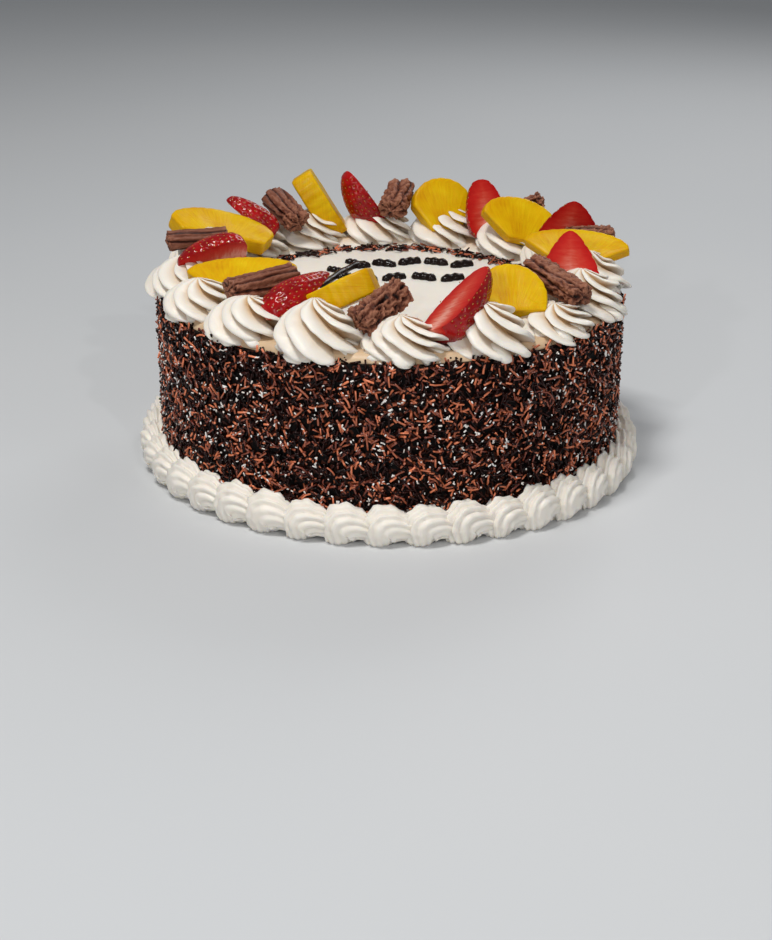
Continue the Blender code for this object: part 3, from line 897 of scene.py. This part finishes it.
# Chocolate bars, end to end: tail, head, roll, width and thickness in mm, crumbs at the tail and the head
BARS = [
    ((352, 106, 105), (3.5, 92, 118), 0, 17, 15, 0.9, 1.0),
    ((63, 81, 115), (57, 114, 106), 0, 17, 13, 0.5, 0.8),
    ((111, 104, 112), (107, 127, 112), 0, 13, 9, 0.6, 0.6),
    ((142.5, 115, 109), (136.3, 124.5, 118), 0, 12, 10, 0.7, 0.7),
    ((180, 88, 112), (177, 110, 119), 0, 18, 14, 1.0, 0.4),
    ((217, 88, 108), (218, 112, 119), 0, 16, 14, 1.0, 0.0),
    ((257, 92, 113), (263, 121, 112), 0, 15, 12, 0.1, 0.1),
    ((316, 70, 112), (311, 105, 109), 0, 18, 14, 0.0, 0.35),
]
# Pineapple slices, core edge to rim: tail, head, roll, width, thickness, core share, dome share
SLICES = [
    ((341, 66, 107), (343, 91, 113), 28, 36, 13, 0.90, 0.25),
    ((40, 93, 98), (49, 78, 116), 0, 36, 14, 0.95, 0.70),
    ((95, 98, 102), (104, 106, 115.5), 0, 57, 7, 0.30, 0.45),
    ((130, 94, 101), (137.5, 108, 120), 20, 44, 7, 0.30, 0.50),
    ((161, 97, 98), (166, 110, 125), 0, 35, 9, 0.50, 0.50),
    ((201, 120, 111), (205, 98, 112), -58, 41, 13, 0.90, 0.25),
    ((249, 100, 106), (239, 112, 114.5), 15, 58, 9, 0.80, 0.60),
    ((302, 92, 99), (287, 79, 111), -5, 58, 8, 0.30, 0.35),
]


def laid(tail, head, roll):
    """The matrix that lays a piece from tail to head, and the length between them in mm."""
    start, end = polar(*tail), polar(*head)
    along = (end - start).normalized()
    side = Vector((0, 0, 1)).cross(along).normalized()
    up = along.cross(side)
    turn = Matrix((along, side, up)).transposed().to_4x4()
    place = Matrix.Translation(start) @ turn @ Matrix.Rotation(radians(roll), 4, "X")
    return place, (end - start).length / MM


print("toppings:", len(STRAWBERRIES) + len(BARS) + len(SLICES))

# %% [markdown]
# ## Strawberries
#
# Each berry is cut lengthwise. Its skin is deep red and glossy, with a seed in each small dimple,
# and its cut face is paler, with a pink heart and fine streaks that run from the heart to the
# skin. Dimples are real dents in the mesh, and the seeds are small separate grains set in them.

# %% Strawberry finishes
skin = Finish("strawberry_skin", Roughness=0.22, Coat_Weight=0.2, Coat_Roughness=0.06, Subsurface_Weight=0.05,
              Subsurface_Scale=1.2 * MM, Specular_IOR_Level=0.3)
skin_blush = skin.noise(130, 3).between(0.3, 0.7)
skin.set("Base Color", skin.mix(skin_blush, (0.24, 0.001, 0.002), (0.42, 0.003, 0.004)))
skin.bump(skin.noise(700, 3), 0.15, 0.4 * MM)

flesh = Finish("strawberry_flesh", Roughness=0.42, Subsurface_Weight=0.15, Subsurface_Scale=1.5 * MM,
               Specular_IOR_Level=0.1)
heart = flesh.mask("heart")
streaks = flesh.noise(1.0, 3, flesh.stretched(700.0, 110.0, 110.0), 0.6)
clouds = flesh.noise(160, 2)
pale = heart * (0.2 + streaks * 1.8) + clouds * 0.3 - 0.14
flesh.set("Base Color", flesh.ramp(
    pale, (0.0, (0.46, 0.006, 0.006)), (0.2, (0.55, 0.020, 0.014)), (0.42, (0.60, 0.050, 0.030)),
    (0.66, (0.66, 0.12, 0.08)), (1.0, (0.78, 0.33, 0.26))))
flesh.bump(streaks, 0.2, 0.5 * MM)

seed_finish = Finish("strawberry_seeds", Roughness=0.3)
seed_tone = seed_finish.noise(300, 1)
seed_finish.set("Base Color", seed_finish.mix(seed_tone, (0.55, 0.30, 0.04), (0.42, 0.08, 0.015)))

# %% Strawberry shape
BERRY_OUTLINES = {
    "pointed": [(0.0, 0.36), (0.04, 0.58), (0.12, 0.82), (0.22, 0.96), (0.34, 1.0), (0.48, 0.93),
                (0.62, 0.79), (0.76, 0.60), (0.88, 0.40), (0.96, 0.22), (1.0, 0.06)],
    "blunt": [(0.0, 0.50), (0.03, 0.68), (0.10, 0.86), (0.22, 0.97), (0.36, 1.0), (0.52, 0.95),
              (0.68, 0.84), (0.82, 0.68), (0.92, 0.50), (0.98, 0.30), (1.0, 0.12)],
}
BERRY_ROWS = 54
BERRY_AROUND = 60
BERRY_SHARP = 50
ROWS_AT_ENDS = 0.6
FACE_POINTS = 11
SEED_SPACING = 3.2
SEED_STRAY = 0.014
SEED_SWAY = 0.06
DIMPLE_DEPTH = 0.7
DIMPLE_SIZE = 1.0
BERRY_GROW = 1.02


def berry_surface(share, angle, length, width, depth, outline):
    """Points of the skin in mm by share of the length and angle round the axis."""
    reach = width / 2 * curve_through(BERRY_OUTLINES[outline], share)
    return np.stack([share * length + 0 * angle, reach * np.sin(angle), depth * reach * np.cos(angle)], -1)


def berry_seeds(length, width, half, outline, rng):
    """Seeds in staggered rows along the skin: share of the length and angle of each."""
    seeds = []
    rows = int(length / SEED_SPACING)
    for row in range(1, rows):
        share = (row + 0.1) / rows
        reach = width / 2 * float(curve_through(BERRY_OUTLINES[outline], share))
        count = max(2, int(2 * half * reach / SEED_SPACING))
        for i in range(count + row % 2):
            angle = -half + 2 * half * (i + (0.02 if row % 2 else 0.5)) / count
            along = share + rng.uniform(-SEED_STRAY, SEED_STRAY)
            seeds.append((along, min(angle, 0.99 * half) + rng.uniform(-SEED_SWAY, SEED_SWAY)))
    return np.array(seeds)


def make_strawberry(number, tail, head, roll, width_share, sweep, depth, outline, mirrored):
    """One cut berry: dented skin over its sweep, flat flesh where it is cut, and its seeds."""
    place, length = laid(tail, head, roll)
    rng = random.Random(400 + number)
    width = width_share * length * BERRY_GROW
    half = radians(sweep) / 2
    even = np.linspace(0, 1, BERRY_ROWS)
    share = (1 - np.cos(np.linspace(0, pi, BERRY_ROWS))) / 2 * ROWS_AT_ENDS + even * (1 - ROWS_AT_ENDS)
    angle = np.linspace(-half, half, BERRY_AROUND)[None]
    outer = berry_surface(share[:, None], angle, length, width, depth, outline)
    seeds = berry_seeds(length, width, half, outline, rng)
    spots = berry_surface(seeds[:, 0], seeds[:, 1], length, width, depth, outline)
    gap = np.linalg.norm(outer[:, :, None] - spots, axis=-1)
    dent = DIMPLE_DEPTH * np.exp(-(gap / DIMPLE_SIZE) ** 2).sum(-1)
    outer = outer - unit(outer * np.array([0, 1, 1]) + 1e-9) * dent[..., None]
    inner = np.linspace(1, 0, FACE_POINTS + 2)[1:-1]
    axis = outer[:, :1] * np.array([1, 0, 0])
    right_face = axis + (outer[:, -1:] - axis) * inner[None, :, None]
    left_face = axis + (outer[:, :1] - axis) * inner[::-1][None, :, None]
    rows = np.concatenate([outer, right_face, axis, left_face], 1)
    heart = np.concatenate([np.zeros(BERRY_AROUND), 1 - inner, [1.0], 1 - inner[::-1]])
    taper = np.clip(1.15 - share[:, None], 0.1, 1)
    masks = {"heart": np.append((heart * taper).ravel(), [0.8, 0.0])}
    points, triangles = join_tubes([rows])
    count = rows.shape[1]
    column = triangles % count
    ends = triangles >= rows.shape[0] * count
    cut = ends.any(1) | ((column >= BERRY_AROUND - 1) | (column == 0)).all(1)
    name = f"strawberry_{number}"
    grains, grain_triangles = berry_grains(spots, depth)
    if mirrored:
        middle = np.array([0, 0, depth * width / 2])
        points, grains = (middle + part * np.array([1, 1, -1]) for part in (points, grains))
        triangles, grain_triangles = triangles[:, ::-1], grain_triangles[:, ::-1]
    piece = add_piece(f"cut_{name}", points * MM, triangles, [skin, flesh], [name], masks,
                      sharp=BERRY_SHARP, place=place)
    piece.data.polygons.foreach_set("material_index", cut.astype(np.int32))
    add_piece(f"{name}_seeds", grains * MM, grain_triangles, [seed_finish], [], place=place)
    return piece


# %% Seeds
SEED_LENGTH, SEED_WIDTH, SEED_RISE = 1.05, 0.66, 0.5
SEED_PROUD = 0.25
SEED_TIP = 0.15
SEED_SECTIONS = ((-0.4, 0.6), (0.0, 1.0), (0.4, 0.6))
SEED_SIDES = 6


def berry_grains(spots, depth):
    """Small pointed grains, each lying in its dimple along the berry."""
    points, triangles = [], []
    turn = np.arange(SEED_SIDES) * 2 * pi / SEED_SIDES
    for spot in spots:
        out = unit(spot * np.array([0, 1, 1 / depth**2]) + 1e-9)
        side = np.cross(out, [1, 0, 0])
        centre = spot - out * (DIMPLE_DEPTH - SEED_PROUD)
        ring = np.outer(np.cos(turn), side * SEED_WIDTH / 2) + np.outer(np.sin(turn), out * SEED_RISE / 2)
        rows = np.array([centre + [step * SEED_LENGTH, 0, 0] + share * ring for step, share in SEED_SECTIONS])
        closed = close_tube(rows)
        closed[-2, 0] -= SEED_TIP * SEED_LENGTH
        closed[-1, 0] += SEED_TIP * SEED_LENGTH
        triangles.append(tube_triangles(*rows.shape[:2]) + len(closed) * len(points))
        points.append(closed)
    return np.concatenate(points), np.concatenate(triangles)


berries = [make_strawberry(number, *values) for number, values in enumerate(STRAWBERRIES, 1)]
print("strawberry triangles:", sum(len(berry.data.polygons) for berry in berries))

# %% [markdown]
# ## Pineapple
#
# The pieces are cut from tinned rings: golden, wet, with fine fibres that fan out from the core
# and a gently scalloped rim. The outline is an arc with small scallops. The faces carry shallow
# grooves along the fibres, as real relief, and the shader adds finer streaks and a deeper orange
# where the fruit is thick.

# %% Pineapple finish
pineapple = Finish("pineapple_flesh", Roughness=0.36, Specular_IOR_Level=0.13, Coat_Weight=0.03,
                   Coat_Roughness=0.15, Subsurface_Weight=0.2, Subsurface_Scale=2.5 * MM)
fan = pineapple.mask("fan") * 26
out_share = pineapple.mask("out") * 2.2
fibre_place = pineapple.node("ShaderNodeCombineXYZ", None, {"X": fan, "Y": out_share, "Z": 0.0})
fibres = pineapple.noise(1.0, 4, fibre_place, 0.6)
cloud = pineapple.noise(70, 2)
tone = fibres * 0.65 + cloud * 0.75 - 0.2
pineapple.set("Base Color", pineapple.ramp(
    tone, (0.15, (0.55, 0.20, 0.0)), (0.40, (0.66, 0.34, 0.0)), (0.62, (0.73, 0.44, 0.001)),
    (0.90, (0.82, 0.58, 0.01))))
pineapple.bump(fibres, 0.25, 0.5 * MM)

# %% Pineapple shape
SLICE_AROUND = 104
FACE_RINGS = 10
SIDE_ROWS = 7
SCALLOP_LENGTH = 5.5
SCALLOP_DEPTH = 0.35
FIBRE_DEPTH = 0.12
SOFT_DEPTH = 0.35
EDGE_ROUND = 1.3
EDGE_STEPS = 4
SLICE_GROW = 0.25
SLICE_SHARP = 60
HUB_SHARE = 0.45


def slice_outline(length, width, core_share, dome):
    """The outline in mm, evenly spaced: core edge, straight flank, scalloped rim, straight flank."""
    shoulder = length * (1 - dome)
    theta = np.linspace(-pi / 2, pi / 2, 60)
    rim = np.stack([shoulder + length * dome * np.cos(theta), width / 2 * np.sin(theta)], -1)
    core = np.array([[0, width / 2 * core_share], [0, -width / 2 * core_share]])
    loop = np.concatenate([rim, core, rim[:1]])
    step = np.linalg.norm(np.diff(loop, axis=0), axis=1)
    reached = np.append(0, np.cumsum(step))
    even = np.linspace(0, reached[-1], SLICE_AROUND, endpoint=False)
    points = np.stack([np.interp(even, reached, loop[:, k]) for k in (0, 1)], -1)
    ahead = np.roll(points, -1, 0) - np.roll(points, 1, 0)
    outward = unit(np.stack([ahead[:, 1], -ahead[:, 0]], -1))
    rim_length = reached[len(theta) - 1]
    on_rim = np.clip(np.minimum(even, rim_length - even) / 3, 0, 1)
    scallop = SCALLOP_DEPTH * (np.abs(np.sin(pi * even / SCALLOP_LENGTH)) - 0.6) * on_rim
    return points + outward * (scallop + SLICE_GROW)[:, None], outward


def make_slice(number, tail, head, roll, width, thickness, core_share, dome):
    """One slice: rings out over the lower face, round its edge, up its side and back in on top."""
    place, length = laid(tail, head, roll)
    outline, outward = slice_outline(length, width, core_share, dome)
    half = thickness / 2
    middle = np.array([length * HUB_SHARE, 0])
    hub = -middle
    shares = [ring / FACE_RINGS for ring in range(1, FACE_RINGS)]
    bends = [(k + 1) / (EDGE_STEPS + 1) for k in range(EDGE_STEPS)]
    # Each ring: share of the outline, level from -1 below to 1 on top, how far round the edge
    rings = [(share, -1.0, 0.0) for share in shares] + [(1.0, -1.0, bend) for bend in bends]
    rings += [(1.0, level, 1.0) for level in np.linspace(-1, 1, SIDE_ROWS)]
    rings += [(1.0, 1.0, bend) for bend in reversed(bends)]
    rings += [(share, 1.0, 0.0) for share in reversed(shares)]
    rows, fans, outs = [], [], []
    for share, level, bend in rings:
        turn = pi / 2 * bend
        inset = EDGE_ROUND * (1 - sin(turn))
        ring = middle + (outline - outward * inset - middle) * share
        away = ring - hub
        fan_angle = np.arctan2(away[:, 1], away[:, 0])
        out = np.hypot(away[:, 0], away[:, 1]) / length
        strands = zip(fan_angle, out)
        grain = np.array([noise.noise(Vector((a * 16, number * 9.0, o * 1.5))) for a, o in strands])
        soft = np.array([noise.noise(Vector((p[0] / 9, p[1] / 9, number * 5.0 + level))) for p in ring])
        if bend == 1.0:
            ring = ring + outward * (0.25 * grain + 0.3 * soft)[:, None]
            z = np.full(len(ring), level * (half - EDGE_ROUND))
        else:
            lift = FIBRE_DEPTH * grain + SOFT_DEPTH * soft
            z = level * (half - EDGE_ROUND + EDGE_ROUND * cos(turn)) + level * lift * (1 - 0.7 * bend)
        rows.append(np.column_stack([ring, z]))
        fans.append(fan_angle + level * 0.3 * bend)
        outs.append(out + (0.35 * level if bend == 1.0 else 0))
    points, triangles = join_tubes([np.stack(rows)])
    masks = {"fan": np.append(np.array(fans).ravel(), [0, 0]),
             "out": np.append(np.array(outs).ravel(), [0.5, 0.5])}
    name = f"pineapple_{number}"
    return add_piece(f"slice_{name}", points * MM, triangles, [pineapple], [name], masks,
                     sharp=SLICE_SHARP, place=place)


slices = [make_slice(number, *values) for number, values in enumerate(SLICES, 1)]
print("pineapple triangles:", sum(len(piece.data.polygons) for piece in slices))

# %% [markdown]
# ## Folded chocolate bars
#
# These bars are thin sheets of milk chocolate folded into a loose log. Along the log run deep gaps
# between the folds, and creases and ridges on them, and its broken ends are crumbs. The log is a
# tube whose section changes along it. Noise that is stretched lengthwise creases it, and finer
# noise breaks it up where it is crumbly. The mask "relief" makes what lies deep darker: painted
# shade in the gaps between the folds and in the pits of the crumbs.

# %% Chocolate finish
bar_finish = Finish("folded_chocolate", Roughness=0.5, Specular_IOR_Level=0.3)
bar_crumbs = bar_finish.mask("crumbs")
bar_lines = bar_finish.noise(700, 3, bar_finish.stretched(0.25, 1.0, 1.0), 0.6)
bar_grain = bar_finish.noise(1300, 4)
# Painted shade: the relief mask darkens the gaps between the folds and the pits of the crumbs
bar_tone = bar_lines * 0.35 + bar_grain * 0.35 * bar_crumbs + bar_finish.mask("relief") * 0.8 - 0.12
bar_finish.set("Base Color", bar_finish.ramp(
    bar_tone, (0.12, (0.016, 0.004, 0.002)), (0.45, (0.13, 0.032, 0.015)), (0.85, (0.35, 0.14, 0.078))))
bar_finish.bump(bar_lines * 0.6 + bar_grain * bar_crumbs, 0.8, 0.9 * MM)

# %% Chocolate bar
BAR_AROUND = 84
BAR_ROWS = 58
BAR_END_ROWS = 9
CREASE_DEPTH = 0.26
FOLDS = 7
FOLD_DEPTH, FOLD_WIDTH = 0.2, 0.10
# The relief mask on the folds and how far it drops in their gaps, where it paints shade
RELIEF_HIGH, RELIEF_DROP = 0.65, 0.6
SQUARENESS = 3.5
END_BULGE = 1.5
BAR_STIR = 0.5
CRUMB_WAVES = ((2.2, 3.6), (1.3, 1.7))


def bar_section(angle, x, seed, shift):
    """How far the sheet reaches round the log, in half widths, and how high it stands from its gaps."""
    reach, gaps = [], 0 * angle
    for fold in range(FOLDS):
        wander = 0.5 * noise.noise(Vector((x / 22, fold * 7.0, seed)))
        away = (angle - 2 * pi * (fold + 0.5) / FOLDS - wander - shift + pi) % (2 * pi) - pi
        gaps = gaps + FOLD_DEPTH * np.exp(-((away / FOLD_WIDTH) ** 2))
    for a in angle:
        crease = abs(noise.noise(Vector((cos(a) * 1.5, sin(a) * 1.5, seed + x / 45)))) ** 0.5
        wide = noise.noise(Vector((cos(a) * 0.8, sin(a) * 0.8, shift + x / 14)))
        fine = noise.noise(Vector((cos(a) * 4.0, sin(a) * 4.0, seed + x / 30)))
        reach.append(1 - CREASE_DEPTH + CREASE_DEPTH * crease + 0.10 * wide + 0.04 * fine)
    return np.array(reach) - gaps, RELIEF_HIGH - gaps / FOLD_DEPTH * RELIEF_DROP


def make_bar(number, tail, head, roll, width, thickness, tail_crumbs, head_crumbs):
    """One folded bar, more or less crumbly towards each end."""
    place, length = laid(tail, head, roll)
    rng = random.Random(300 + number)
    seed = number * 17.0
    shift = rng.uniform(0, 50)
    angle = np.arange(BAR_AROUND) * 2 * pi / BAR_AROUND
    squarish = np.abs(np.cos(angle)) ** SQUARENESS + np.abs(np.sin(angle)) ** SQUARENESS
    squarish **= -1 / SQUARENESS
    body = [(t, 1.0) for t in np.linspace(0, 1, BAR_ROWS - 2 * BAR_END_ROWS)]
    ends = np.linspace(0.06, 0.97, BAR_END_ROWS)
    stations = [(0.0, share) for share in ends] + body + [(1.0, share) for share in ends[::-1]]
    rows, reliefs = [], []
    for t, share in stations:
        x = t * length
        reach, relief = bar_section(angle, x, seed, shift)
        reach = reach * squarish * share
        reliefs.append(relief)
        bulge = (1 - share) * END_BULGE * (1 if t > 0.5 else -1)
        rows.append(np.column_stack([np.full(BAR_AROUND, x + bulge), reach * width / 2 * np.cos(angle),
                                     reach * thickness / 2 * np.sin(angle)]))
    points, triangles = join_tubes([np.stack(rows)])
    t = np.clip(points[:, 0] / length, 0, 1)
    near_end = np.clip(np.abs(t - 0.5) * 2, 0, 1) ** 8
    crumbs = np.clip(tail_crumbs + (head_crumbs - tail_crumbs) * t**0.7 + 0.45 * near_end, 0, 1)
    outward = unit(points * np.array([0.0, 1, 1]) + np.array([[1e-6, 0, 0]]))
    outward = unit(outward + np.outer(near_end * np.sign(t - 0.5), [1.2, 0, 0]))
    relief = np.append(np.array(reliefs).ravel(), [0.3, 0.3])
    for amount, size in CRUMB_WAVES:
        ridge = 0.35 - np.abs(ripple(points + seed, size)) * 1.6
        points = points + outward * (amount * crumbs * ridge)[:, None]
        # The crumbs' pits also lower the relief mask, so they are painted darker as shade
        relief = relief + 0.8 * crumbs * ridge
    points = points + BAR_STIR * (0.4 + 0.6 * crumbs)[:, None] * stir(points + seed, 2.4)
    name = f"choc_bar_{number}"
    masks = {"crumbs": crumbs, "relief": relief}
    return add_piece(f"folded_{name}", points * MM, triangles, [bar_finish], [name], masks,
                     place=place)


bars = [make_bar(number, *values) for number, values in enumerate(BARS, 1)]
print("bar triangles:", sum(len(bar.data.polygons) for bar in bars))

# %% [markdown]
# ## The piped ornament
#
# A fine round nozzle draws glossy melted chocolate over the middle of the top: one long stem with
# small leaves on both sides, and two garlands of short strokes. Each stroke is a tube whose
# thickness swells and tapers, half sunk in the cream, and its ends are round.

# %% Ornament
piping = Finish("piped_chocolate", Roughness=0.16, Specular_IOR_Level=0.2)
piping.set("Base Color", piping.mix(piping.noise(200, 2), (0.006, 0.004, 0.004), (0.016, 0.008, 0.006)))

# Each garland: strokes, x where it starts, x where it ends, y and height of the arch, in mm
GARLANDS = [(4, -4, 40, 47, 5), (5, -14, 50, 17, 4)]
DAB_LENGTH, DAB_THICK = 14.5, 3.0
STROKE_HEIGHT = TOP_HEIGHT + 1.0
STEM_START, STEM_REACH, STEM_BEND, STEM_THICK = (-38, 2), (24, 50), 6, 2.3
STEM_LEAVES, LEAF_LENGTH, LEAF_ASIDE = 5, 9.0, 5.5
STROKE_ROWS = 14
STROKE_SIDES = 12


def stroke(x, y, thick):
    """A tube along a line on the top, given by its x and y in mm, thinner at its ends."""
    line = np.column_stack([x, y, np.full(len(x), STROKE_HEIGHT)])
    share = np.linspace(0, 1, len(line))[:, None]
    ahead = unit(np.gradient(line, axis=0))
    side = unit(np.cross(ahead, [0, 0, 1.0]))
    turn = np.arange(STROKE_SIDES) * 2 * pi / STROKE_SIDES
    round_ends = np.clip(1 - np.abs(2 * share - 1) ** 6, 0.02, 1) ** 0.5
    swell = thick * round_ends * (1 + 0.12 * np.sin(share * 19 + line[0, 0]))
    return (line[:, None] + side[:, None] * (swell * np.cos(turn))[..., None]
            + np.array([0, 0, 1.0]) * (0.95 * swell * np.sin(turn))[..., None])


def make_ornament():
    """The garlands, the stem and its leaves as one piece."""
    tubes = []
    share = np.linspace(0, 1, STROKE_ROWS)
    for count, start_x, end_x, base_y, arch in GARLANDS:
        for i in range(count):
            at = i / (count - 1)
            heading = radians(26 if i % 2 else -20)
            x = start_x + (end_x - start_x) * at + (share - 0.5) * DAB_LENGTH * cos(heading)
            y = base_y + arch * sin(pi * at) + (share - 0.5) * DAB_LENGTH * sin(heading) + np.sin(pi * share)
            tubes.append(stroke(x, y, DAB_THICK))
    long_share = np.linspace(0, 1, 4 * STROKE_ROWS)
    x = STEM_START[0] + STEM_REACH[0] * long_share
    y = STEM_START[1] + STEM_REACH[1] * long_share + STEM_BEND * np.sin(pi * long_share)
    tubes.append(stroke(x, y, STEM_THICK))
    for i in range(STEM_LEAVES):
        knot = (2 * i + 1) * len(x) // (2 * STEM_LEAVES)
        way = -1 if i % 2 == 0 else 1
        leaf_x = x[knot] + way * (LEAF_ASIDE + (share - 0.5) * LEAF_LENGTH * 0.9)
        leaf_y = y[knot] + 1 + (share - 0.5) * LEAF_LENGTH * 0.5
        tubes.append(stroke(leaf_x, leaf_y, STEM_THICK))
    points, triangles = join_tubes(tubes)
    return add_piece("piped_ornament", points * MM, triangles, [piping], [])


ornament = make_ornament()
print("ornament triangles:", len(ornament.data.polygons))

# %% [markdown]
# ## Last step
#
# The floor gets its finish.

# %% Finish
paper = Finish("pale_floor", Roughness=0.6)
paper.set("Base Color", paper.mix(paper.noise(3, 2), (0.60, 0.62, 0.64), (0.64, 0.65, 0.66)))
floor.data.materials.append(paper.material)
